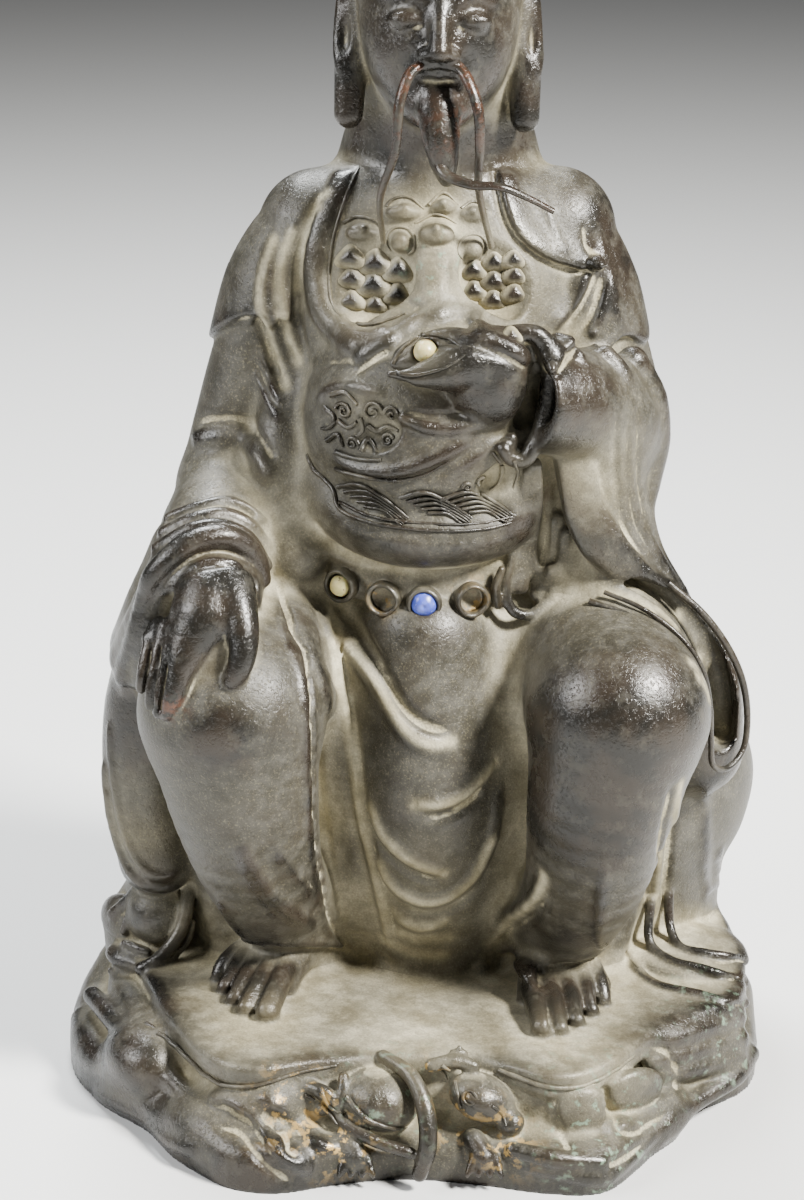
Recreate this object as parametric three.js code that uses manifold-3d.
// A seated bronze figure of Zhenwu, the Dark Warrior, bare-footed on a rock with the tortoise and snake
// on its front.
// The bronze is one casting: it is modelled in clay, a grid of distances to the skin, and the skin is
// then drawn over it.
// Millimetres. X is the viewer's right, Y runs to the back, Z is up, and the origin is on the underside.
import * as THREE from "three";
import { mergeVertices } from "three/addons/utils/BufferGeometryUtils.js";
import Module from "manifold-3d";

const wasm = await Module();
wasm.setup();

// Driving dimensions
const HEIGHT = 170;
const LEDGE = 15.5; // the top of the rock's flat shelf
const SKIN_TRIANGLES = 7700;
const PITCH = 0.85; // of the clay's grid
const FAR = 9; // the distance that empty clay starts with

const v = (x, y, z) => new THREE.Vector3(x, y, z);
const clamp = THREE.MathUtils.clamp;

function smoothMin(a, b, k) {
  if (k <= 0) return Math.min(a, b);
  const h = Math.max(k - Math.abs(a - b), 0) / k;
  return Math.min(a, b) - h * h * k * 0.25;
}

// The clay: a distance to the skin at each grid point, negative inside.
class Clay {
  constructor(xs, ys, zs) {
    Object.assign(this, { xs, ys, zs });
    this.stepY = xs.length;
    this.stepZ = xs.length * ys.length;
    this.values = new Float32Array(this.stepZ * zs.length).fill(FAR);
  }

  edit(box, change) {
    const span = (marks, low, high) => [
      marks.findIndex((m) => m >= low),
      marks.findLastIndex((m) => m <= high),
    ];
    const [x0, x1] = span(this.xs, box.min.x, box.max.x);
    const [y0, y1] = span(this.ys, box.min.y, box.max.y);
    const [z0, z1] = span(this.zs, box.min.z, box.max.z);
    if (x0 < 0 || y0 < 0 || z0 < 0) return;
    for (let k = z0; k <= z1; k++)
      for (let j = y0; j <= y1; j++)
        for (let i = x0; i <= x1; i++) {
          const at = i + j * this.stepY + k * this.stepZ;
          this.values[at] = change(this.values[at], this.xs[i], this.ys[j], this.zs[k]);
        }
  }

  add(shape, blend = 1) {
    this.edit(shape.box.clone().expandByScalar(blend + 3), (old, x, y, z) =>
      smoothMin(old, shape.distance(x, y, z), blend));
  }

  cut(shape, blend = 0.5) {
    this.edit(shape.box.clone().expandByScalar(blend + 3), (old, x, y, z) =>
      -smoothMin(-old, shape.distance(x, y, z), blend));
  }

  // Softens what is finer than the grid, by mixing each value with its neighbours along every axis.
  soften() {
    const sides = [1, this.stepY, this.stepZ];
    for (const step of sides) {
      const old = this.values.slice();
      for (let at = step; at < old.length - step; at++)
        this.values[at] = 0.5 * old[at] + 0.25 * (old[at - step] + old[at + step]);
    }
  }

  // Cuts everything below the ground away.
  standOnGround() {
    const all = new THREE.Box3(v(-Infinity, -Infinity, -Infinity), v(Infinity, Infinity, Infinity));
    this.edit(all, (old, x, y, z) => Math.max(old, -z));
  }

  // How deep the skin lies under a point of one of the five elevations.
  depth(view, a, b) {
    const { along, from, towards, axes } = VIEWS[view];
    const marks = [this.xs, this.ys, this.zs];
    const steps = [1, this.stepY, this.stepZ];
    const near = (list, value) => {
      const step = list.findIndex((m) => m >= value);
      return step < 0 ? list.length - 1 : step;
    };
    const start = near(marks[axes[0]], a) * steps[axes[0]] + near(marks[axes[1]], b) * steps[axes[1]];
    const list = marks[along];
    for (let n = 1; n < list.length; n++) {
      const i = from === 0 ? n : list.length - 1 - n;
      const before = this.values[start + (i - towards) * steps[along]];
      const here = this.values[start + i * steps[along]];
      if (here > 0) continue;
      return list[i] - (towards * here * Math.abs(list[i] - list[i - towards])) / (here - before);
    }
    return undefined;
  }

  // A line drawn on an elevation, laid on the skin.
  drape(view, line) {
    const curve = new THREE.CatmullRomCurve3(line.map(([a, b]) => v(a, b, 0)), false, "centripetal");
    const count = Math.max(4, Math.ceil(curve.getLength() / 1.2));
    const { along, axes } = VIEWS[view];
    const laid = [];
    for (const p of curve.getSpacedPoints(count)) {
      const deep = this.depth(view, p.x, p.y);
      if (deep === undefined) continue;
      const q = [0, 0, 0];
      q[axes[0]] = p.x;
      q[axes[1]] = p.y;
      q[along] = deep;
      laid.push(v(...q));
    }
    return laid;
  }

  // Raises the skin along a drawn line, or sinks it when the height is negative. The line's left side falls
  // away over its width and its right side over its other width, and a flat fold has a level top with
  // firm edges.
  fold(view, line, height, width, { other = width, flat = false, fade = 0.25 } = {}) {
    const path = this.drape(view, line);
    if (path.length < 2) return;
    const near = Math.max(width, PITCH * 1.15);
    const far = Math.max(other, PITCH * 1.15);
    const { axes, turn } = VIEWS[view];
    const reach = (flat ? 1.5 : 2.2) * Math.max(near, far);
    const keys = ["x", "y", "z"];
    const [a, b] = axes.map((n) => keys[n]);
    const last = path.length - 1;
    this.edit(new THREE.Box3().setFromPoints(path).expandByScalar(reach), (old, x, y, z) => {
      const p = { x, y, z };
      let best = Infinity;
      let side = 0;
      let share = 0;
      for (let n = 0; n < last; n++) {
        const s = path[n];
        const e = path[n + 1];
        const t = nearest(s, e, x, y, z);
        const dx = x - s.x - t * (e.x - s.x);
        const dy = y - s.y - t * (e.y - s.y);
        const dz = z - s.z - t * (e.z - s.z);
        const d = dx * dx + dy * dy + dz * dz;
        if (d >= best) continue;
        best = d;
        share = (n + t) / last;
        side = turn * ((e[a] - s[a]) * (p[b] - s[b]) - (e[b] - s[b]) * (p[a] - s[a]));
      }
      if (best > reach * reach) return old;
      const w = side >= 0 ? near : far;
      const fall = flat ? (best / (w * w)) ** 3 : best / (w * w);
      const ends = fade <= 0 ? 1 : Math.sin((Math.PI / 2) * Math.min(1, share / fade, (1 - share) / fade));
      return old - height * Math.exp(-fall) * ends;
    });
  }
}

// The elevations that lines are drawn on: the axis looked along, where it starts and which way it goes.
const VIEWS = {
  front: { along: 1, from: 0, towards: 1, axes: [0, 2], turn: 1 },
  back: { along: 1, from: 1, towards: -1, axes: [0, 2], turn: -1 },
  left: { along: 0, from: 0, towards: 1, axes: [1, 2], turn: -1 },
  right: { along: 0, from: 1, towards: -1, axes: [1, 2], turn: 1 },
  top: { along: 2, from: 1, towards: -1, axes: [0, 1], turn: 1 },
};

// Where the point nearest to (x, y, z) lies on the line from s to e, as a share of its length
function nearest(s, e, x, y, z) {
  const along = ((x - s.x) * (e.x - s.x) + (y - s.y) * (e.y - s.y) + (z - s.z) * (e.z - s.z));
  return clamp(along / s.distanceToSquared(e), 0, 1);
}

const boxAround = (points, room) => new THREE.Box3().setFromPoints(points).expandByScalar(room);

// An ellipsoid, turned by degrees about X, Y and Z.
function egg(centre, radii, turn = [0, 0, 0]) {
  const spin = new THREE.Euler(...turn.map(THREE.MathUtils.degToRad));
  const back = new THREE.Matrix4().makeRotationFromEuler(spin).invert();
  const q = new THREE.Vector3();
  const most = Math.max(radii.x, radii.y, radii.z);
  return {
    box: boxAround([centre], most),
    distance(x, y, z) {
      q.set(x - centre.x, y - centre.y, z - centre.z).applyMatrix4(back);
      const near = Math.hypot(q.x / radii.x, q.y / radii.y, q.z / radii.z);
      const slope = Math.hypot(q.x / radii.x ** 2, q.y / radii.y ** 2, q.z / radii.z ** 2);
      return slope < 1e-6 ? -Math.min(radii.x, radii.y, radii.z) : (near * (near - 1)) / slope;
    },
  };
}

// A smooth tube through points [x, y, z, radius].
function limb(stations, pieces = 5) {
  const path = new THREE.CatmullRomCurve3(stations.map(([x, y, z]) => v(x, y, z)), false, "centripetal");
  const count = pieces * (stations.length - 1);
  const points = path.getPoints(count);
  const radii = points.map((_, n) => {
    const at = n / pieces;
    const low = Math.min(Math.floor(at), stations.length - 2);
    return THREE.MathUtils.lerp(stations[low][3], stations[low + 1][3], at - low);
  });
  return {
    box: boxAround(points, Math.max(...radii)),
    distance(x, y, z) {
      let best = Infinity;
      for (let n = 0; n < count; n++) {
        const s = points[n];
        const e = points[n + 1];
        const t = nearest(s, e, x, y, z);
        const [dx, dy, dz] = [x - s.x - t * (e.x - s.x), y - s.y - t * (e.y - s.y), z - s.z - t * (e.z - s.z)];
        const d = Math.sqrt(dx * dx + dy * dy + dz * dz);
        best = Math.min(best, d - THREE.MathUtils.lerp(radii[n], radii[n + 1], t));
      }
      return best;
    },
  };
}

// A flat strap through points [x, y, z, half width], lying square to its facing direction.
function strap(stations, halfThickness, facing, pieces = 5) {
  const path = new THREE.CatmullRomCurve3(stations.map(([x, y, z]) => v(x, y, z)), false, "centripetal");
  const count = pieces * (stations.length - 1);
  const points = path.getPoints(count);
  const widths = points.map((_, n) => {
    const at = n / pieces;
    const low = Math.min(Math.floor(at), stations.length - 2);
    return THREE.MathUtils.lerp(stations[low][3], stations[low + 1][3], at - low);
  });
  const frames = points.slice(0, -1).map((s, n) => {
    const along = points[n + 1].clone().sub(s);
    const across = along.clone().normalize().cross(facing).normalize();
    const out = across.clone().cross(along).normalize();
    return { along, across, out, square: along.lengthSq() };
  });
  const q = new THREE.Vector3();
  return {
    box: boxAround(points, Math.max(...widths)),
    distance(x, y, z) {
      let best = Infinity;
      for (let n = 0; n < count; n++) {
        const { along, across, out, square } = frames[n];
        q.set(x, y, z).sub(points[n]);
        const t = clamp(q.dot(along) / square, 0, 1);
        q.addScaledVector(along, -t);
        const wide = THREE.MathUtils.lerp(widths[n], widths[n + 1], t);
        const u = q.dot(across) / wide;
        const w = q.dot(out) / halfThickness;
        const rest = (q.lengthSq() - q.dot(across) ** 2 - q.dot(out) ** 2) / halfThickness ** 2;
        const near = Math.sqrt(Math.sqrt(u ** 4 + w ** 4) + Math.max(rest, 0));
        best = Math.min(best, (near - 1) * halfThickness);
      }
      return best;
    },
  };
}

// A body of oval sections stacked up Z, each level [z, x, y, half width, half depth].
function loft(levels) {
  const tracks = [1, 2, 3, 4].map((n) => {
    const marks = levels.map((level) => v(level[0], level[n], 0));
    return new THREE.CatmullRomCurve3(marks, false, "centripetal").getPoints(80);
  });
  const at = (track, z) => {
    const above = track.findIndex((p) => p.x >= z);
    const n = above < 0 ? track.length - 1 : Math.max(above, 1);
    const share = clamp((z - track[n - 1].x) / (track[n].x - track[n - 1].x), 0, 1);
    return THREE.MathUtils.lerp(track[n - 1].y, track[n].y, share);
  };
  const low = levels[0][0];
  const high = levels[levels.length - 1][0];
  const wide = Math.max(...levels.map((l) => l[3] + Math.abs(l[1])));
  const deep = Math.max(...levels.map((l) => l[4] + Math.abs(l[2])));
  let level = NaN;
  let section = [];
  return {
    box: new THREE.Box3(v(-wide, -deep, low), v(wide, deep, high)),
    distance(x, y, z) {
      if (z !== level) section = tracks.map((t) => at(t, z));
      level = z;
      const [cx, cy, a, b] = section;
      const near = Math.hypot((x - cx) / a, (y - cy) / b);
      const slope = Math.hypot((x - cx) / a ** 2, (y - cy) / b ** 2);
      const round = slope < 1e-6 ? -Math.min(a, b) : (near * (near - 1)) / slope;
      return Math.max(round, low - z, z - high);
    },
  };
}

// A slab with a drawn plan outline, between two heights, with its edge rounded over.
function slab(plan, low, high, round, inset = 0) {
  const curve = new THREE.CatmullRomCurve3(plan.map(([x, y]) => v(x, y, 0)), true, "centripetal");
  const ring = curve.getSpacedPoints(64).slice(0, -1);
  const middle = (low + high) / 2;
  const half = (high - low) / 2 - round;
  let column = [NaN, NaN];
  let flat = 0;
  const plane = (x, y) => {
    let best = Infinity;
    let inside = false;
    for (let n = 0, m = ring.length - 1; n < ring.length; m = n++) {
      const s = ring[m];
      const e = ring[n];
      const t = nearest(s, e, x, y, 0);
      best = Math.min(best, Math.hypot(x - s.x - t * (e.x - s.x), y - s.y - t * (e.y - s.y)));
      const straddles = s.y > y !== e.y > y;
      if (straddles && x < ((s.x - e.x) * (y - e.y)) / (s.y - e.y) + e.x) inside = !inside;
    }
    return (inside ? -best : best) + inset;
  };
  return {
    box: boxAround(ring, 0).union(new THREE.Box3(v(0, 0, low), v(0, 0, high))),
    distance(x, y, z) {
      if (x !== column[0] || y !== column[1]) flat = plane(x, y);
      column = [x, y];
      const a = flat + round;
      const b = Math.abs(z - middle) - half;
      return Math.hypot(Math.max(a, 0), Math.max(b, 0)) + Math.min(Math.max(a, b), 0) - round;
    },
  };
}

// The part of a shape below a plane, whose edge may rise and fall like a scalloped hem.
function clipped(shape, point, normal, waves = 0, swing = 0) {
  const up = normal.clone().normalize();
  return {
    box: shape.box,
    distance(x, y, z) {
      const over = (x - point.x) * up.x + (y - point.y) * up.y + (z - point.z) * up.z;
      const wave = waves ? swing * Math.sin(waves * Math.atan2(y - point.y, x - point.x)) : 0;
      return Math.max(shape.distance(x, y, z), over + wave);
    },
  };
}

// The rock: its outline on the ground, and the outline of the flat shelf above it
const GROUND_PLAN = [
  [-50.5, -10], [-48.9, -23.8], [-44, -33], [-36.7, -39.1], [-30.4, -48.4], [-22, -55], [-11, -54],
  [-1.7, -51.1],
  [9, -52.5], [18, -54], [26, -53], [31.2, -46.5], [39.4, -32], [48.5, -23], [50.5, -8], [46, 12],
  [33, 28], [10, 35],
  [-14, 34.5], [-36, 27], [-47, 11],
];
const SHELF_PLAN = [
  [-46, -8], [-39, -20], [-33, -29], [-24, -43], [-15.5, -49], [-7.4, -48.2], [2, -45.3], [11.5, -46.8],
  [19.5, -49.4],
  [26, -47.4], [31.5, -41.5], [38, -33.5], [46.5, -23], [48, -8], [45, 10], [33, 26], [10, 33],
  [-14, 32.5], [-34, 25],
  [-45, 10],
];

// Where the body's joints lie. The figure's right is at -X, on the left of someone facing it.
const RIGHT_KNEE = [-26, -30, 60];
const LEFT_KNEE = [28, -30, 61];
const RIGHT_ANKLE = [-16.5, -31, 25];
const LEFT_ANKLE = [19, -32, 25];
const BELLY = v(0.5, -10, 95.5);

function rock(clay) {
  clay.add(slab(GROUND_PLAN, -4, 6.5, 3), 0);
  clay.add(slab(GROUND_PLAN, 2, 13, 3, 5.5), 3);
  clay.add(slab(SHELF_PLAN, LEDGE - 4, LEDGE, 1.7), 1);
  // Boulders around the foot of the rock, in pairs that lean on each other
  const turns = 17;
  for (let n = 0; n < turns; n++) {
    const angle = (n / turns) * 2 * Math.PI;
    const swell = 1 + 0.25 * Math.sin(5.3 * n);
    const at = v(44 * Math.cos(angle), -9.5 + 41 * Math.sin(angle), 5 + 2.5 * Math.cos(3.1 * n));
    if (Math.abs(at.x) < 22 && at.y < 0) continue; // the tortoise lies here
    const heading = THREE.MathUtils.radToDeg(angle) + 70;
    clay.add(egg(at, v(8 * swell, 6 * swell, 5.2 * swell), [20 * Math.sin(n), 0, heading]), 1.5);
  }
}

function lowerBody(clay) {
  // The robe over the seat, from the shelf to the waist: height, middle, half width, half depth
  clay.add(loft([
    [LEDGE - 2, 0.4, 4, 45.5, 28], [24, 1.6, 3, 44.7, 27.5], [31, 2.4, 3, 46.3, 27], [39, 2.4, 3, 47.3, 26.5],
    [45, 1.4, 3, 46.8, 26.2], [51, 0.2, 3, 45, 26], [58, 0, 3, 41.5, 25], [66, 0, 4, 35.5, 23],
    [73, -0.5, 4, 28, 20],
    [80, 0, 3, 22, 17],
  ]), 1);
  const leg = (side, knee, ankle) => {
    const [kx, ky, kz] = knee;
    const [ax, ay, az] = ankle;
    clay.add(limb([[side * 15, 4, 58, 15], [kx * 0.9, -14, 61, 13.5], [kx, ky, kz, 12.2]]), 5);
    clay.add(limb([
      [kx, ky, kz - 1, 12], [kx * 0.93, ky - 1, kz - 14, 10.2], [(kx + ax) / 2, ay - 1, az + 10, 8],
      [ax, ay + 1, az, 7], [ax, ay + 5, LEDGE + 1, 7.5],
    ]), 3);
  };
  leg(-1, RIGHT_KNEE, RIGHT_ANKLE);
  leg(1, LEFT_KNEE, LEFT_ANKLE);
  // The skirt hanging between the legs
  clay.add(limb([[0, -18, 66, 9], [1, -22, 45, 10], [2, -21, 24, 10]]), 6);
}

// A bare foot on the shelf: five toes on an arched instep
function foot(clay, side, heel, yaw) {
  const turn = new THREE.Euler(0, 0, THREE.MathUtils.degToRad(yaw));
  const place = (x, y, z) => {
    const p = v(x * side, -y, z).applyEuler(turn);
    return [heel.x + p.x, heel.y + p.y, LEDGE + p.z];
  };
  clay.add(limb([[...place(0, 0, 5), 5], [...place(0, 8, 3.4), 4.4], [...place(0.3, 14, 1.6), 3.6]]), 2);
  clay.add(limb([[...place(-2.4, 12, 1.2), 2.8], [...place(3.6, 11.5, 1), 2.6]]), 2);
  for (let toe = 0; toe < 5; toe++) {
    const across = -4.6 + 2.55 * toe;
    const tip = 19.5 - 0.45 * toe ** 1.6;
    const thick = toe === 0 ? 1.75 : 1.3;
    const root = [...place(across * 0.8, 13, 1.6), thick];
    clay.add(limb([root, [...place(across, tip, thick * 0.8), thick]]), 0.5);
  }
}

function torso(clay) {
  clay.add(loft([
    [64, 0, 4, 24, 20], [72, 0, 4, 21, 17], [84, 0, 2, 21, 17], [98, 0, 1.5, 21.5, 17],
    [110, 0.3, 1, 22, 16.5],
    [118, 0.5, 1.5, 21, 15], [124, 0.5, 2, 18, 12], [129, 0.5, 2, 12, 9.5], [134, 0.5, 1, 8, 8],
  ]), 4);
  clay.add(egg(BELLY, v(18, 17.5, 18.3)), 2.5);
  clay.add(limb([[-16, 1, 120, 8], [0, 0, 122, 9], [17, 1, 121, 8]]), 4);
}

function arms(clay) {
  // The figure's right arm, down to the wrist on its knee
  clay.add(limb([[-16.5, 1, 118.5, 7.3], [-22.3, 1, 106, 7], [-26.3, 0.5, 92, 6.9], [-28, -2, 84, 7]]), 2.5);
  clay.add(limb([[-28.2, 0, 82.5, 7.2], [-28.6, -12, 80, 7.5], [-29.3, -20, 77.5, 7.4]]), 2);
  const mouth = limb([[-29.3, -12, 79, 7.6], [-30, -28, 74.5, 8.6]]);
  clay.add(clipped(mouth, v(-30.4, -30.5, 75), v(0.1, -0.8, -0.75)), 1);
  clay.add(limb([[-33, -19, 78, 5], [-35.6, -20, 71, 5.6], [-38, -15, 63, 6]]), 2);
  clay.add(limb([[-34, -26, 78, 4.4], [-36.2, -27, 72, 4.4], [-38.8, -21, 64, 5]]), 1.5);
  // Its sleeve, hanging outside the thigh
  clay.add(limb([
    [-31, -8, 77, 6.4], [-34.8, -12, 66, 6.5], [-38.6, -12, 53, 6.6], [-39.2, -12, 40, 6.2],
    [-37.8, -13, 30, 5.6],
  ]), 2.5);
  // The left arm, folded to the belly, its sleeve open at the wrist
  clay.add(limb([[17, 1, 119.5, 7.3], [22.8, 1, 106, 7], [26, 1, 95, 7], [26.4, -2, 89, 6.8]]), 2.5);
  const cuff = v(13.2, -25, 102.8);
  const out = v(-0.79, -0.6, 0.1);
  const forearm = limb([
    [26.4, -2, 89.5, 7.2], [24, -12, 96, 7.8], [18, -20.5, 101, 8.2], [11, -26.5, 103, 7.8],
  ]);
  clay.add(clipped(forearm, cuff, out), 1.5);
  // Its sleeve, falling in a broad band over the thigh to the outside of the knee
  clay.add(limb([
    [24.6, -6, 86, 6.6], [24.6, -12, 77, 6.4], [30.5, -15, 67.5, 8], [36.6, -13, 57, 8.6],
    [39.2, -12, 48.5, 6.8],
  ]), 3);
  // Cap sleeves over both shoulders, ending in scalloped hems
  for (const side of [-1, 1]) {
    const rise = side > 0 ? 1 : 0;
    const cap = limb([
      [side * 15.4, 1, 119.5 + rise, 7.4], [side * 20, 1, 111.5, 8.5], [side * 22.6, 0.5, 101, 9.2],
    ]);
    clay.add(clipped(cap, v(side * 22.4, 0, 104), v(side * 0.25, -0.15, -1), 5, 1), 0.8);
  }
}

// The right hand, lying over the knee with its fingers down
function rightHand(clay) {
  clay.add(limb([[-27.6, -27, 79, 5], [-28.4, -34, 76.5, 5.4], [-29.2, -38, 73, 5]]), 1.5);
  clay.add(limb([[-25.6, -35, 77.5, 3.4], [-26.2, -39, 73.4, 3.2]]), 1.5);
  for (let finger = 0; finger < 4; finger++) {
    const out = finger * 1.85;
    const back = finger * 1.5;
    const reach = 1.4 * Math.sin(finger * 1.1);
    clay.add(limb([
      [-28 - out * 0.9, -39.6 + back, 74 - finger * 0.3, 2.3], [-30.2 - out, -42 + back, 69, 1.85],
      [-32 - out, -42 + back, 64.4 - reach, 1.55],
    ]), 0.3);
  }
  clay.add(limb([[-24.4, -36, 77, 2.6], [-23.6, -40.5, 72.6, 2.1], [-25, -41.6, 68.8, 1.8]]), 0.8);
}

// The left hand comes out of its sleeve, the thumb laid over the curled fingers, in front of the belly
function leftHand(clay) {
  clay.cut(limb([[8, -28.5, 103, 5.6], [16.5, -22.5, 102, 5.2]]), 0.5);
  clay.add(limb([
    [18, -20, 102, 4.6], [11, -26, 104.4, 4.8], [5, -28.6, 105, 4], [0.5, -29.6, 105.3, 2.8],
    [-5, -29.2, 106.4, 1.3],
  ]), 0.8);
  clay.add(egg(v(6.5, -27.6, 103.4), v(8.5, 4, 5), [0, -10, -28]), 1.2);
  clay.add(limb([[10, -27.5, 99.4, 2.8], [4, -29.3, 98.4, 2.5], [-2.6, -28.2, 99.4, 2.1]]), 0.6);
  const lip = [];
  for (let n = 0; n <= 12; n++) {
    const angle = (n / 12) * 2 * Math.PI;
    const across = Math.cos(angle);
    const rise = Math.sin(angle);
    lip.push([13.2 + 3.4 * across + rise, -25 - 4.5 * across, 102.8 + 8.2 * rise, 1.35]);
  }
  clay.add(limb(lip, 2), 0.4);
}


function head(clay) {
  clay.add(egg(v(0, -4.2, 153), v(11.2, 12.8, 16.9)), 0); // skull and hair
  clay.add(egg(v(0, -8.2, 147.5), v(9.7, 10, 11.3)), 2);
  clay.add(egg(v(0, -14.4, 139.4), v(4.4, 3.8, 3.2)), 3); // chin
  clay.add(limb([[0, -3, 140, 7.5], [0.3, -1, 130, 8]]), 2); // neck
  // Hair combed back and falling behind the shoulders
  clay.add(loft([
    [108, 0, 15, 9, 4], [113, 0, 13.5, 13, 5.5], [122, 0.3, 9, 15, 8.5], [130, 0.6, 4.5, 14, 10.5],
    [138, 0.5, 2.6, 12, 11.2], [148, 0, 0.4, 11.2, 11.6], [156, 0, -1.6, 9.6, 10.6], [163, 0, -3.4, 5.5, 7],
  ]), 2);
  clay.add(clipped(egg(v(0, -3.6, 154.6), v(12, 13.6, 15.4)), v(0, -11.6, 160.4), v(0, -0.78, -0.62)), 0.5);
  for (const side of [-1, 1]) {
    clay.add(limb([
      [side * 11, -4, 150, 2.8], [side * 11.6, -5.2, 144, 2.3], [side * 11.9, -6, 136.4, 2],
    ]), 0.8);
    clay.cut(egg(v(side * 12.8, -7, 147.6), v(1.2, 1.6, 3.2)), 0.6);
    clay.cut(egg(v(side * 4.3, -19.2, 151), v(2.8, 1.7, 1.5)), 1.5); // eye socket
    clay.add(egg(v(side * 4.2, -15.6, 150.9), v(2.4, 1.9, 1.35)), 0.3);
    clay.fold("front", [[side * 1.4, 153], [side * 4.4, 154.4], [side * 8, 152.8]], 0.7, 0.9);
    clay.add(egg(v(side * 1.7, -18.7, 146.9), v(1.2, 1.3, 0.95)), 0.6); // wing of the nose
  }
  clay.add(limb([[0, -16.6, 153.4, 1.1], [0, -18.6, 149.8, 1.3], [0, -20.2, 147.4, 1.45]]), 1.2);
  clay.fold("front", [[-2.9, 144.5], [0, 145], [2.9, 144.5]], 0.8, 0.6);
  clay.fold("front", [[-2.4, 142.7], [0, 142.4], [2.4, 142.7]], 0.8, 0.65);
  // Tuft of beard
  clay.add(limb([[0, -17, 139, 2.6], [0.8, -18, 134.6, 2.3], [1.5, -17.8, 130.4, 1.4]]), 0.8);
}

const shifted = (line, x, z) => line.map(([a, b]) => [a + x, b + z]);

// The sleeve's broad smooth band, and the folds beside it that run down to the outside of the knee
function cuffAndBand(clay) {
  clay.add(limb([[22, -14, 100, 6.5], [23, -14, 89, 6.4], [25, -14, 79, 6.5]]), 3);
  clay.add(strap([
    [19, -21, 108.5, 3], [18.6, -25.4, 101, 3.3], [19, -23.8, 90, 3.6], [21.4, -21, 82, 4],
    [26, -20.4, 77, 4],
    [32, -19.5, 74.5, 3],
  ], 2.1, v(0.2, -1, 0.2)), 1);
  clay.add(limb([
    [24.8, -15, 106, 2], [25, -19, 99, 2.2], [25.5, -17, 88, 2.2], [29, -16, 80, 2.2], [34, -16, 73.5, 2],
  ]), 1);
  clay.add(limb([
    [28.6, -10, 102, 2], [30, -10, 94, 2.4], [29.4, -9, 86, 2.2], [30.5, -12, 79, 2], [35, -14, 73, 1.8],
  ]), 1);
  // The ribbon that hangs below the cuff and turns up again
  clay.add(limb([
    [13, -22, 94, 1.8], [13.2, -18.6, 85, 1.9], [12.4, -16, 77, 1.7], [13.5, -17, 71.6, 1.7],
  ]), 0.5);
  clay.add(limb([
    [16, -20, 92, 1.9], [17.4, -14.5, 84, 2], [17.6, -14.5, 77, 1.8], [15.2, -17, 71.6, 1.8],
  ]), 0.5);
}

// The armour over the chest, in the opening of the robe
function armour(clay) {
  clay.cut(egg(v(-8, -13, 116.5), v(5.6, 3, 8)), 1);
  clay.cut(egg(v(8.6, -12.4, 117.5), v(5.6, 3, 6.6)), 1);
  for (const side of [-1, 1]) {
    for (let row = 0; row < 4; row++) {
      for (let n = 0; n < 3; n++) {
        const x = side * (4.7 + 3.3 * n) + (row % 2 ? 1 : -0.4);
        const z = (side < 0 ? 111.6 : 112.8) + 3.1 * row + 0.25 * n;
        const y = clay.depth("front", x, z);
        if (y === undefined || Math.abs(x) > 14) continue;
        clay.add(egg(v(x, y + 0.2, z), v(1.75, 1.5, 1.25)), 0.4);
        clay.add(egg(v(x, y + 0.1, z - 1), v(0.8, 1.2, 1.1)), 0.4);
      }
    }
  }
  clay.fold("front", [[0.3, 123.5], [0.2, 118], [0.2, 113]], 1, 2.5, { flat: true, fade: 0 });
  clay.fold("front", [[-4, 113], [0.4, 114.6], [4.6, 113.2]], 0.8, 1.6);
  for (const z of [119.2, 120.6]) clay.fold("front", [[-2.4, z], [2.8, z]], 0.5, 0.6);
  clay.add(egg(v(0.6, -13.4, 122.8), v(3, 2, 1.9)), 0.5);
  for (const x of [-5.8, 6.4]) clay.add(egg(v(x, -13.2, 121.8), v(1.7, 1.7, 1.7)), 0.4);
  for (const x of [-5, -0.6, 4]) {
    clay.add(egg(v(x, -9.6, 126.2), v(2.2, 1.6, 1.2), [0, 12 * Math.sign(x), 0]), 0.5);
  }
}

const RIGHT_LAPEL = [
  [-11.4, 128.6], [-14.6, 124.6], [-15.8, 119.5], [-16, 114], [-15.4, 109.8], [-12.6, 107.2],
  [-8.6, 107.2],
];
const LEFT_LAPEL = [[8.2, 129.4], [9.6, 124.2], [11.8, 120.6], [14.6, 118], [18, 116.4], [21.6, 115.8]];

// The jewelled belt follows a round under the belly: its settings lie at these turns from the front, in
// degrees.
const BELT_RADIUS = 22;
const BELT_TURNS = { disc: -42, cream: -30, leftEmpty: -14.5, blue: -0.5, rightEmpty: 16, hidden: 29 };
const CABOCHON = v(-0.9, -27, 109.5);

function onBelt(degrees, out = 0) {
  const angle = THREE.MathUtils.degToRad(degrees);
  const rise = 10 * (1 - Math.cos(angle));
  const radius = BELT_RADIUS + out;
  return v(radius * Math.sin(angle), -radius * Math.cos(angle), 74.5 + rise);
}

function belt(clay) {
  const stations = [];
  for (let degrees = -62; degrees <= 44; degrees += 10.6) stations.push([...onBelt(degrees, -1.2), 2.4]);
  for (let n = 1; n < stations.length; n++) {
    const middle = v((stations[n][0] + stations[n - 1][0]) / 2, (stations[n][1] + stations[n - 1][1]) / 2, 0);
    clay.add(strap([stations[n - 1], stations[n]], 1.6, middle.normalize(), 2), 0.4);
  }
}

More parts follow.
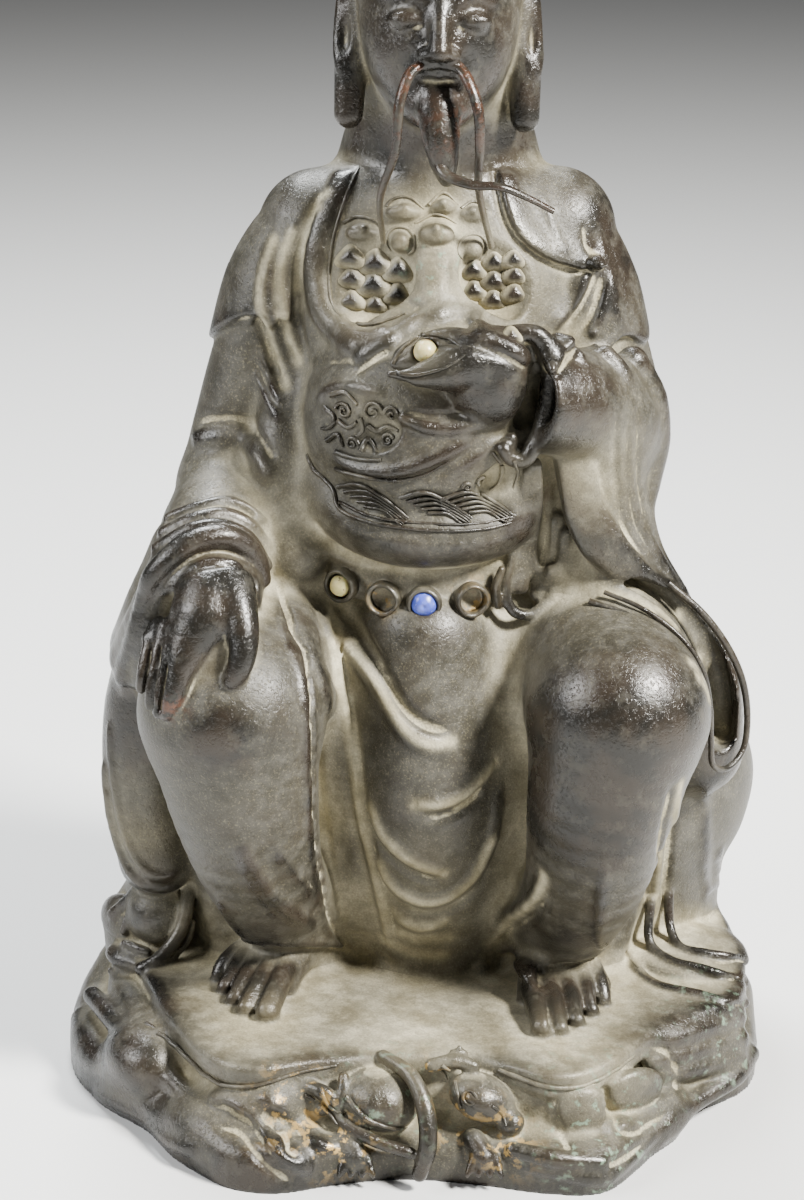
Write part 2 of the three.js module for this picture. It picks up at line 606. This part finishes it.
function shoulderFolds(clay) {
  clay.fold("front", RIGHT_LAPEL, 1.7, 2.5, { flat: true, fade: 0.08 });
  clay.fold("front", [
    [-19, 124], [-20.3, 118.9], [-21.1, 114.6], [-20.9, 110.5], [-19.6, 105.5], [-17.3, 101.9],
  ], 1.5, 1.1);
  clay.fold("front", [
    [-21.3, 121.4], [-23, 117], [-24, 112], [-23.4, 107.6], [-21.6, 102.6], [-19.2, 99.1],
  ], 1.7, 1.4);
  clay.fold("front", [[-25.2, 101.6], [-23.2, 98.2], [-20.8, 94.8]], 0.8, 1);
  clay.fold("front", [[-23, 102.6], [-21.4, 99.8], [-19.6, 96.6]], 0.8, 0.9);
  clay.fold("front", LEFT_LAPEL, 1.5, 2, { other: 0.7, fade: 0.1 });
  clay.fold("front", [[21.6, 115.4], [20, 111.6], [17.4, 107.6]], 1.3, 1.6, { other: 0.8 });
  clay.fold("front", [[23.4, 115], [22.6, 110.6], [21.4, 106]], 1.1, 1);
  clay.fold("front", [[18.4, 122.6], [20, 119.4], [21.8, 117.8]], 0.8, 1.1);
  clay.fold("front", [[25.6, 113.6], [25, 110], [24.4, 107.4]], 1, 1);
  clay.add(egg(v(22, -7.2, 117), v(1.3, 1.5, 1)), 0.4);
}

const BELLY_RIM = [
  [-12.4, 104.8], [-10, 107.4], [-6.7, 109.9], [-2.3, 111.9], [2.3, 112.7], [7.2, 112], [11.4, 110],
];
const CRESCENT = [
  [-15.6, 90.6], [-13, 88.2], [-11.7, 86], [-8.4, 84.7], [-1, 84.2], [5.5, 84.1], [11.4, 84.7],
];

function bellyCarving(clay) {
  clay.add(egg(v(-1.2, -25, 109), v(6.4, 3, 2.5), [0, -20, 0]), 0.8);
  clay.fold("front", BELLY_RIM, 1.1, 1.1, { flat: true, fade: 0.1 });
  clay.fold("front", CRESCENT, 0.9, 0.8, { fade: 0.1 });
  clay.fold("front", [[-13, 89.4], [-7, 90.6], [-1, 91.6], [4, 92.2], [9.6, 92.8]], 0.6, 0.9);
  clay.fold("front", [[-12.6, 93.2], [-5.2, 93.6], [0.8, 95], [6, 98]], 0.8, 1.1);
  clay.fold("front", [[-14.6, 99.6], [-10, 101.6], [-7, 103]], 0.6, 1);
  // Waves: three fans of arcs that break to the right
  for (let fan = 0; fan < 3; fan++)
    for (let arc = 0; arc < 2; arc++) {
      const x = -10.6 + 6.2 * fan + 1.1 * arc;
      const z = 86.1 + 1.5 * arc + 0.2 * fan;
      clay.fold("front", [[x, z + 0.6], [x + 2.4, z + 1.9 - 0.5 * arc], [x + 5.4, z - 0.4]], 0.6, 0.5);
    }
  // A curling cloud
  const cloud = [
    [-12.4, 97.4, 1.5], [-9.6, 98.6, 1.4], [-6.8, 98, 1.4], [-11.4, 94.9, 1.2], [-8, 95.6, 1.5],
    [-5.4, 95.6, 1.1],
  ];
  for (const [x, z, r] of cloud) {
    const y = clay.depth("front", x, z) + 0.2;
    clay.add(egg(v(x, y, z), v(r, 1.1, r * 0.7)), 0.4);
  }
  clay.fold("front", [[-17.4, 80.6], [-13.4, 78.2], [-4.9, 77.2], [3.3, 77.2], [11.7, 78.6]], 0.9, 1.1);
}

function sleeveFolds(clay) {
  // Rings of cloth pushed up the right forearm, each lapping over the next
  const rings = [
    [[-35, 88.6], [-32.6, 91.6], [-28.5, 93.2], [-25.4, 92.8], [-21.4, 90.4]],
    [[-35.4, 85.4], [-31.5, 88], [-28.3, 88.9], [-24.7, 88.2], [-20.8, 85]],
    [[-35, 83.4], [-32, 85.9], [-28.5, 86.7], [-23.8, 85.2], [-20.6, 80.4]],
    [[-35.6, 81.8], [-31.3, 84.6], [-27.6, 85.3], [-23.6, 83.2], [-20.8, 77.6]],
    [[-35.8, 80.4], [-31.1, 83.6], [-27.4, 84.2], [-23.2, 81.6], [-21, 76]],
  ];
  rings.forEach((ring, n) => {
    const [height, width] = n < 2 ? [1.1, 2] : [0.9, 1.1];
    clay.fold("front", ring, height, width, { other: 0.6, fade: 0.12 });
  });
  clay.fold("front", [[-36, 80.5], [-39.8, 69], [-41.6, 62.4], [-42.2, 56]], 0.8, 1.3);
  clay.fold("front", [[-35.6, 79], [-38.4, 68], [-39.4, 60]], 0.8, 1);
  // The mouth of the right sleeve, a long hollow with a rim
  clay.cut(limb([[-41, -20.4, 49, 1.6], [-39.4, -20.6, 40, 2.6], [-37, -20.6, 34, 2.8]]), 1);
  clay.fold("front", [[-44, 52], [-42.8, 39], [-40, 31.4], [-36.4, 28.6], [-33, 29.6]], 0.9, 0.9);
  // The left sleeve's hem, a thin edge around a hollow, and the folds beside it
  clay.fold("front", [[33, 74], [38, 69], [41, 63.5], [42, 57.5], [41.6, 51.4]], -1.8, 1.5);
  clay.fold("front", [
    [31.5, 76.4], [35.4, 73], [40.2, 66.9], [43.4, 61], [44.8, 54.2], [43.4, 49.2], [40.6, 48],
  ], 1.2, 0.9, { fade: 0.1 });
  clay.fold("front", [
    [20, 74.2], [26.8, 74.6], [31, 73.4], [35, 70.4], [37.6, 66.5], [38.6, 61], [38.8, 54.6],
  ], 0.9, 0.9);
}

const PANEL_EDGE = [[-20.3, 74.6], [-17.2, 69.5], [-15.2, 63.5], [-14.8, 50.7], [-13.2, 34], [-9.2, 22]];
const SASH_EDGE = [[-14.7, 72], [-11.5, 62.8], [-9.5, 52], [-7.1, 38.8], [-4.6, 24]];

function skirtFolds(clay) {
  clay.fold("front", PANEL_EDGE, -1.5, 0.8, { fade: 0.1 });
  clay.fold("front", shifted(PANEL_EDGE, 1.6, 0), 0.8, 1.6, { other: 0.8, fade: 0.1 });
  clay.fold("front", SASH_EDGE, -0.9, 0.8, { fade: 0.1 });
  clay.fold("front", shifted(SASH_EDGE, -1.2, 0), 0.7, 0.8, { other: 1.5, fade: 0.1 });
  clay.fold("front", [
    [-12.1, 70.3], [-6.4, 65.7], [-3.3, 61.4], [-0.4, 58.2], [3.8, 56.6],
  ], 1.8, 0.9, { other: 2.2 });
  clay.fold("front", [[-11, 71.8], [-5, 66.6], [-1.8, 62.2], [1.2, 59.6]], -1, 1.1);
  clay.fold("front", [[-0.4, 46.2], [3.6, 46], [7.3, 47.6], [10.1, 50.4]], 1.4, 2, { other: 0.9 });
  clay.fold("front", [[-7.3, 46.6], [-5.5, 41.4], [-2.2, 38.2], [2.8, 36.4]], 1.4, 0.9, { other: 1.8 });
  clay.fold("front", [
    [-6.6, 44.4], [-4.5, 37.6], [-0.9, 34.4], [3.9, 33.2], [8.4, 35], [10.6, 40], [10.6, 46],
  ], 1.2, 1.2);
  clay.fold("front", [[-2.8, 30.7], [0.8, 30.1], [5.2, 31.6]], 0.8, 1.3);
  clay.fold("front", [[16.6, 38.6], [15.6, 34.2], [12.7, 28.4], [10.8, 23.8]], 1, 1, { other: 1.6 });
  // Creases above the right ankle
  clay.fold("front", [
    [-23.9, 45.1], [-22.3, 40.8], [-20.4, 37.1], [-17, 32.8], [-14.5, 30.3],
  ], 1, 0.7, { other: 1.2 });
  clay.fold("front", [[-20, 44.1], [-18.4, 40.3], [-15.9, 35.6], [-14, 33]], 1, 0.7, { other: 1 });
  clay.fold("front", [[-27.4, 36], [-26.2, 31.7], [-24.1, 28.4]], 0.9, 0.9);
  // Hems of the trousers over both feet
  clay.fold("front", [
    [-25, 27], [-20.7, 28.4], [-17, 27.2], [-13.8, 26.2], [-11.2, 23.6],
  ], 1, 1.2, { other: 0.5, fade: 0.1 });
  clay.fold("front", [
    [12, 24], [14.6, 25.6], [19, 26.6], [24, 26.6], [27, 25.8],
  ], 1, 1.2, { other: 0.5, fade: 0.1 });
  // Upright folds at the side of the left shin, and the hem that spreads over the rock
  clay.fold("front", [[35.4, 46], [34.4, 36], [33.6, 25], [34.6, 17.6]], 1.5, 0.9, { fade: 0.1 });
  clay.fold("front", [[38.6, 45], [37.6, 36], [36.6, 25], [37.4, 16.4]], 1.4, 0.9, { fade: 0.1 });
  clay.fold("front", [[43.4, 40], [43.2, 34], [44, 26], [45, 18]], 1, 1.2);
  clay.add(egg(v(40.5, -10, 15.8), v(8.5, 10.5, 2.4), [0, 0, -12]), 1);
  clay.fold("top", [[34.5, -14.9], [37, -19.6], [41.5, -20.6], [45.2, -19], [47.5, -13]], 1, 1);
  clay.fold("top", [[37.6, -13.4], [39.6, -16], [43.6, -16.4], [46.4, -12]], 0.9, 0.9);
  // Cloth bunched on the rock at the right
  clay.add(egg(v(-36.8, -13.6, 19.5), v(5, 3.6, 6.4), [0, 20, 0]), 0.8);
  clay.add(egg(v(-43.2, -7.5, 17.4), v(3.4, 5.5, 3.2), [0, 0, 25]), 0.8);
  clay.add(egg(v(-41, -14, 15.6), v(4.6, 3.2, 1.9), [0, 0, -25]), 0.8);
}

// The rock's front, with the tortoise and the snake wound over it
function rockCarving(clay) {
  clay.add(egg(v(-3.8, -46.6, 8.6), v(6, 6, 5.4)), 0.8);
  clay.add(egg(v(6, -47, 7.4), v(4.8, 5.4, 4.4)), 0.8);
  clay.add(limb([
    [4.6, -43.6, 16, 1.5], [-0.4, -47.8, 14.6, 1.6], [1.6, -52, 10, 1.7], [1.4, -54, 4, 1.7],
  ]), 0.5);
  clay.add(limb([[4.4, -44.4, 16, 1.4], [7.4, -45.6, 16, 1.5]]), 0.4);
  clay.add(egg(v(9, -48.4, 11), v(4.4, 3.6, 2.5), [0, 22, 0]), 0.5);
  clay.fold("front", [[-9.6, 6.4], [-8.8, 11], [-5.4, 13.6], [-1.6, 12]], 0.8, 0.8);
  clay.fold("front", [[-9, 5.6], [-5, 4.4], [-1, 3.6]], 0.8, 0.8);
  for (let toe = 0; toe < 3; toe++) {
    clay.add(limb([[-7.6 + 1.7 * toe, -52, 4.6, 0.9], [-7.2 + 2 * toe, -54.4, 2, 0.8]]), 0.3);
    clay.add(limb([[9 + 1.7 * toe, -51.6, 5.4, 0.9], [10 + 2.2 * toe, -54, 2.4, 0.8]]), 0.3);
  }
  const ridges = [
    [[-26.5, 9.6], [-22, 7], [-15.7, 3.4]], [[-18.5, 11.6], [-13.5, 6.6], [-9.5, 4.9]], [[-43.4, 9],
    [-37.5, 5.4], [-32.2, 3.6]],
    [[-35, 11], [-31, 7.6], [-27, 3.4]], [[14, 11.6], [19.4, 11], [25.8, 9.6], [31, 7]], [[14.6, 5.6],
    [20.5, 4], [27, 4.4], [33, 5.8]],
    [[33, 10.4], [38, 8.4], [42, 9.4]], [[40, 4.6], [44, 6.6], [46.4, 10]],
  ];
  for (const ridge of ridges) clay.fold("front", ridge, 1.7, 1.6);
}

function backCarving(clay) {
  // Strands of hair down the back
  for (let strand = -3; strand <= 3; strand++) {
    const x = strand * 3.2;
    clay.fold("back", [[x * 0.75, 164], [x, 150], [x, 136], [x * 1.1, 122], [x * 0.85, 112]], 0.7, 1);
  }
  // Folds that hang from the shoulders and gather at the belt
  for (const side of [-1, 1]) {
    clay.fold("back", [[side * 19, 118], [side * 16, 104], [side * 12, 90], [side * 9, 78]], 1.2, 1.8);
    clay.fold("back", [[side * 25, 104], [side * 22, 94], [side * 18, 82]], 1.1, 1.6);
    clay.fold("back", [[side * 12, 70], [side * 22, 52], [side * 30, 30], [side * 33, 17]], 1.5, 2.2);
    clay.fold("back", [[side * 5, 70], [side * 10, 50], [side * 14, 30], [side * 15, 17]], 1.3, 2);
    clay.fold("back", [[side * 22, 66], [side * 33, 50], [side * 41, 30]], 1.2, 1.8);
  }
  clay.fold("back", [[-21, 76], [0, 73.6], [21, 76]], 1.6, 2.2, { flat: true, fade: 0.1 });
}

function figure() {
  const axis = (low, high) => {
    const count = Math.ceil((high - low) / PITCH) + 1;
    return Float64Array.from({ length: count }, (_, n) => low + n * PITCH);
  };
  const clay = new Clay(axis(-54, 54), axis(-60, 40), axis(-1.5 * PITCH, HEIGHT + 3));
  rock(clay);
  lowerBody(clay);
  foot(clay, -1, v(-13.5, -25, 0), -42);
  foot(clay, 1, v(17.5, -27, 0), 14);
  torso(clay);
  arms(clay);
  rightHand(clay);
  leftHand(clay);
  head(clay);
  cuffAndBand(clay);
  belt(clay);
  armour(clay);
  shoulderFolds(clay);
  bellyCarving(clay);
  sleeveFolds(clay);
  skirtFolds(clay);
  rockCarving(clay);
  backCarving(clay);
  clay.soften();
  clay.standOnGround();
  return clay;
}

// The skin over the clay. Each grid cell is six tetrahedra, and each one is cut where the distance passes
// zero.
function skin(clay) {
  const { xs, ys, zs, values, stepY, stepZ } = clay;
  const offset = (bits) => (bits & 1) + (bits & 2 ? stepY : 0) + (bits & 4 ? stepZ : 0);
  // Corners of the six tetrahedra as bits of x, y and z, each in right-handed order
  const tetrahedra = [[0, 1, 3, 7], [0, 2, 6, 7], [0, 4, 5, 7], [0, 3, 2, 7], [0, 6, 4, 7], [0, 5, 1, 7]];
  const singles = [[0, 1, 2, 3], [1, 0, 3, 2], [2, 3, 0, 1], [3, 2, 1, 0]];
  const pairs = {
    3: [0, 1, 2, 3], 5: [0, 2, 3, 1], 9: [0, 3, 1, 2], 6: [1, 2, 0, 3], 10: [1, 3, 2, 0], 12: [2, 3, 0, 1],
  };
  const positions = [];
  const triangles = [];
  const known = new Map();

  const crossing = (cell, i, j, k, from, to) => {
    const low = from & to;
    const high = from | to;
    const key = (cell + offset(low)) * 8 + (high ^ low);
    let vertex = known.get(key);
    if (vertex !== undefined) return vertex;
    vertex = positions.length / 3;
    known.set(key, vertex);
    const a = values[cell + offset(low)];
    const b = values[cell + offset(high)];
    const share = clamp(a / (a - b), 0.02, 0.98);
    const mix = (list, n, bit) =>
      THREE.MathUtils.lerp(list[n + (low & bit ? 1 : 0)], list[n + (high & bit ? 1 : 0)], share);
    positions.push(mix(xs, i, 1), mix(ys, j, 2), mix(zs, k, 4));
    return vertex;
  };

  for (let k = 0; k < zs.length - 1; k++)
    for (let j = 0; j < ys.length - 1; j++)
      for (let i = 0; i < xs.length - 1; i++) {
        const cell = i + j * stepY + k * stepZ;
        let inside = 0;
        for (let bits = 0; bits < 8; bits++) inside += values[cell + offset(bits)] < 0 ? 1 : 0;
        if (inside === 0 || inside === 8) continue;
        for (const corners of tetrahedra) {
          let mask = 0;
          corners.forEach((bits, n) => (mask |= values[cell + offset(bits)] < 0 ? 1 << n : 0));
          if (mask === 0 || mask === 15) continue;
          const cut = (p, q) => crossing(cell, i, j, k, corners[p], corners[q]);
          const pair = pairs[mask];
          if (pair) {
            const [a, b, c, d] = pair;
            const quad = [cut(a, c), cut(a, d), cut(b, d), cut(b, c)];
            triangles.push(quad[0], quad[1], quad[2], quad[0], quad[2], quad[3]);
            continue;
          }
          const alone = [1, 2, 4, 8].indexOf(mask);
          const [a, b, c, d] = singles[alone < 0 ? [14, 13, 11, 7].indexOf(mask) : alone];
          if (alone >= 0) triangles.push(cut(a, b), cut(a, c), cut(a, d));
          else triangles.push(cut(a, b), cut(a, d), cut(a, c));
        }
      }
  return { positions, triangles };
}

// The face, hands, chest and front carving keep smaller facets than the back and the hidden sides.
function importance(p) {
  const front = p.y < -8 ? 2 : 0.5;
  const carved = p.z > 72 && p.y < -3 ? 1.6 : 1;
  const face = p.z > 135 && p.y < -8 ? 2.5 : 1;
  return front * carved * face;
}

// Thins a closed skin: the edge whose loss changes the form least is closed up, over and over.
function thin({ positions, triangles }, wanted) {
  const count = positions.length / 3;
  const quadrics = new Float64Array(count * 10);
  const faces = Array.from({ length: count }, () => []);
  const alive = new Uint8Array(triangles.length / 3).fill(1);
  const stamp = new Uint32Array(count);
  const point = (n) => v(positions[3 * n], positions[3 * n + 1], positions[3 * n + 2]);
  const normal = (a, b, c) => b.clone().sub(a).cross(c.clone().sub(a));

  for (let f = 0; f < alive.length; f++) {
    const [a, b, c] = triangles.slice(3 * f, 3 * f + 3);
    const n = normal(point(a), point(b), point(c));
    const area = n.length() * importance(point(a));
    n.normalize();
    const d = -n.dot(point(a));
    const plane = [n.x, n.y, n.z, d];
    for (const corner of [a, b, c]) {
      faces[corner].push(f);
      let at = corner * 10;
      for (let r = 0; r < 4; r++) for (let s = r; s < 4; s++) quadrics[at++] += area * plane[r] * plane[s];
    }
  }

  const heap = [];
  const push = (entry) => {
    let n = heap.push(entry) - 1;
    while (n > 0) {
      const up = (n - 1) >> 1;
      if (heap[up].cost <= entry.cost) break;
      heap[n] = heap[up];
      n = up;
    }
    heap[n] = entry;
  };
  const pop = () => {
    const top = heap[0];
    const last = heap.pop();
    if (heap.length === 0) return top;
    let n = 0;
    for (;;) {
      let down = 2 * n + 1;
      if (down >= heap.length) break;
      if (down + 1 < heap.length && heap[down + 1].cost < heap[down].cost) down++;
      if (heap[down].cost >= last.cost) break;
      heap[n] = heap[down];
      n = down;
    }
    heap[n] = last;
    return top;
  };

  const cost = (q, p) =>
    q[0] * p.x * p.x + 2 * q[1] * p.x * p.y + 2 * q[2] * p.x * p.z + 2 * q[3] * p.x + q[4] * p.y * p.y +
    2 * q[5] * p.y * p.z + 2 * q[6] * p.y + q[7] * p.z * p.z + 2 * q[8] * p.z + q[9];
  const weigh = (a, b) => {
    const q = new Float64Array(10);
    for (let n = 0; n < 10; n++) q[n] = quadrics[10 * a + n] + quadrics[10 * b + n];
    const pa = point(a);
    const pb = point(b);
    const middle = pa.clone().lerp(pb, 0.5);
    const form = new THREE.Matrix3().set(q[0], q[1], q[2], q[1], q[4], q[5], q[2], q[5], q[7]);
    const size = q[0] + q[4] + q[7];
    let best = middle;
    if (Math.abs(form.determinant()) > 1e-5 * size ** 3) {
      const ideal = v(-q[3], -q[6], -q[8]).applyMatrix3(form.invert());
      if (ideal.distanceTo(middle) < 2 * pa.distanceTo(pb)) best = ideal;
    }
    const length = pa.distanceToSquared(pb);
    push({ cost: cost(q, best) + 1e-4 * length * length, a, b, to: best, stamps: stamp[a] + stamp[b] });
  };
  const around = (n) => {
    const ring = new Set();
    for (const f of faces[n]) for (let s = 0; s < 3; s++) ring.add(triangles[3 * f + s]);
    ring.delete(n);
    return ring;
  };
  const turnsOver = (n, other, to) => faces[n].some((f) => {
    const corners = [triangles[3 * f], triangles[3 * f + 1], triangles[3 * f + 2]];
    if (corners.includes(other)) return false;
    const before = normal(...corners.map(point));
    const after = normal(...corners.map((c) => (c === n ? to : point(c))));
    return before.dot(after) < 0.25 * before.length() * after.length() || after.length() < 1e-4;
  });

  for (let n = 0; n < count; n++) for (const m of around(n)) if (m > n) weigh(n, m);
  let left = alive.length;
  while (left > wanted && heap.length > 0) {
    const { a, b, to, stamps } = pop();
    if (stamps !== stamp[a] + stamp[b] || faces[a].length === 0 || faces[b].length === 0) continue;
    const ringA = around(a);
    const ringB = around(b);
    if (!ringA.has(b)) continue;
    let shared = 0;
    for (const n of ringA) shared += ringB.has(n) ? 1 : 0;
    if (shared !== 2 || turnsOver(a, b, to) || turnsOver(b, a, to)) continue;
    for (const f of faces[b]) {
      const corners = triangles.slice(3 * f, 3 * f + 3);
      if (corners.includes(a)) {
        alive[f] = 0;
        left--;
        for (const c of corners) if (c !== b) faces[c] = faces[c].filter((g) => g !== f);
      } else {
        triangles[3 * f + corners.indexOf(b)] = a;
        faces[a].push(f);
      }
    }
    faces[b] = [];
    positions[3 * a] = to.x;
    positions[3 * a + 1] = to.y;
    positions[3 * a + 2] = to.z;
    for (let n = 0; n < 10; n++) quadrics[10 * a + n] += quadrics[10 * b + n];
    const ring = around(a);
    stamp[a] += 1;
    for (const n of ring) weigh(a, n);
  }

  const kept = new Map();
  const points = [];
  const indices = [];
  for (let f = 0; f < alive.length; f++) {
    if (!alive[f]) continue;
    for (let s = 0; s < 3; s++) {
      const n = triangles[3 * f + s];
      if (!kept.has(n)) {
        kept.set(n, points.length / 3);
        points.push(positions[3 * n], positions[3 * n + 1], positions[3 * n + 2]);
      }
      indices.push(kept.get(n));
    }
  }
  return { points, indices };
}

function toManifold(geometry, place = new THREE.Matrix4()) {
  const bare = geometry.clone().applyMatrix4(place);
  bare.deleteAttribute("normal");
  bare.deleteAttribute("uv");
  const merged = mergeVertices(bare, 1e-4);
  return new wasm.Manifold(new wasm.Mesh({
    numProp: 3,
    vertProperties: new Float32Array(merged.attributes.position.array),
    triVerts: new Uint32Array(merged.index.array),
  }));
}

function toGeometry(solid) {
  const mesh = solid.getMesh();
  const geometry = new THREE.BufferGeometry();
  geometry.setAttribute("position", new THREE.BufferAttribute(new Float32Array(mesh.vertProperties), 3));
  geometry.setIndex(new THREE.BufferAttribute(new Uint32Array(mesh.triVerts), 1));
  geometry.computeVertexNormals();
  return geometry;
}

const modelled = thin(skin(figure()), SKIN_TRIANGLES);
const LEVEL = 0.2; // what lies this near the ground is laid flat on it
for (let n = 2; n < modelled.points.length; n += 3) {
  if (Math.abs(modelled.points[n]) < LEVEL) modelled.points[n] = 0;
}
const bareFigure = new THREE.BufferGeometry();
bareFigure.setAttribute("position", new THREE.Float32BufferAttribute(modelled.points, 3));
bareFigure.setIndex(modelled.indices);

let bronze = toManifold(bareFigure);

const STRAND = 0.85; // radius of the cast whiskers
const STRANDS = {
  right: [
    v(-0.9, -17.6, 146), v(-3.5, -19.8, 144.8), v(-4.9, -20.9, 141.3), v(-5.4, -20.3, 134.7),
    v(-7.3, -16.8, 127.5), v(-6.8, -12.6, 120.8),
  ],
  left: [
    v(1.7, -17.6, 146), v(3.5, -19.8, 144.4), v(5.2, -21.3, 140.3), v(5.6, -20.3, 134.9),
    v(5.7, -16.8, 129.1), v(7.8, -11.6, 120.2),
  ],
  chin: [
    v(0.3, -17.6, 134.5), v(0.9, -20.2, 131.9), v(4.4, -21.8, 130.6), v(8.4, -22.4, 130.5),
    v(12, -21.6, 129), v(15.5, -20.6, 127.1),
  ],
};

function strand(points) {
  const section = new THREE.Shape().absarc(0, 0, STRAND, 0, 2 * Math.PI);
  const path = new THREE.CatmullRomCurve3(points, false, "centripetal");
  const settings = { curveSegments: 3, steps: 12, bevelEnabled: false, extrudePath: path };
  return new THREE.ExtrudeGeometry(section, settings);
}

// A frame whose Z looks outwards from a place on the belt
function facing(at, out) {
  const place = new THREE.Matrix4().lookAt(out, v(0, 0, 0), v(0, 0, 1));
  return place.setPosition(at);
}

function beltSetting(degrees) {
  const out = onBelt(degrees).setZ(0);
  const cup = new THREE.CylinderGeometry(2.25, 2.5, 3.4, 12).rotateX(Math.PI / 2);
  return toManifold(cup, facing(onBelt(degrees), out));
}

function ball(radius, at) {
  return toManifold(new THREE.SphereGeometry(radius, 10, 6), new THREE.Matrix4().setPosition(at));
}

for (const points of Object.values(STRANDS)) bronze = bronze.add(toManifold(strand(points)));
for (const degrees of Object.values(BELT_TURNS)) bronze = bronze.add(beltSetting(degrees));

const STONES = {
  belt_bead_cream: { radius: 1.5, at: onBelt(BELT_TURNS.cream, 1.3), colour: 0xc9bd84 },
  belt_bead_blue: { radius: 1.8, at: onBelt(BELT_TURNS.blue, 1.3), colour: 0x5b6cc4 },
  belly_cabochon: { radius: 1.7, at: CABOCHON, colour: 0xc4b57c },
};
const GAP = 0.3; // between a stone and its socket
for (const stone of Object.values(STONES)) bronze = bronze.subtract(ball(stone.radius + GAP, stone.at));
for (const degrees of [BELT_TURNS.leftEmpty, BELT_TURNS.rightEmpty]) {
  bronze = bronze.subtract(ball(1.9, onBelt(degrees, 1.2)));
}

const model = new THREE.Group();

function addPiece(name, geometry, colour, roughness, metalness) {
  const finish = new THREE.MeshStandardMaterial({ color: colour, roughness, metalness });
  const mesh = new THREE.Mesh(geometry, finish);
  mesh.name = name;
  model.add(mesh);
  return mesh;
}

addPiece("figure", toGeometry(bronze), 0x3b352b, 0.45, 0.8);
for (const [name, stone] of Object.entries(STONES)) {
  const piece = addPiece(name, new THREE.SphereGeometry(stone.radius, 12, 8), stone.colour, 0.25, 0);
  piece.position.copy(stone.at);
}

export default model;
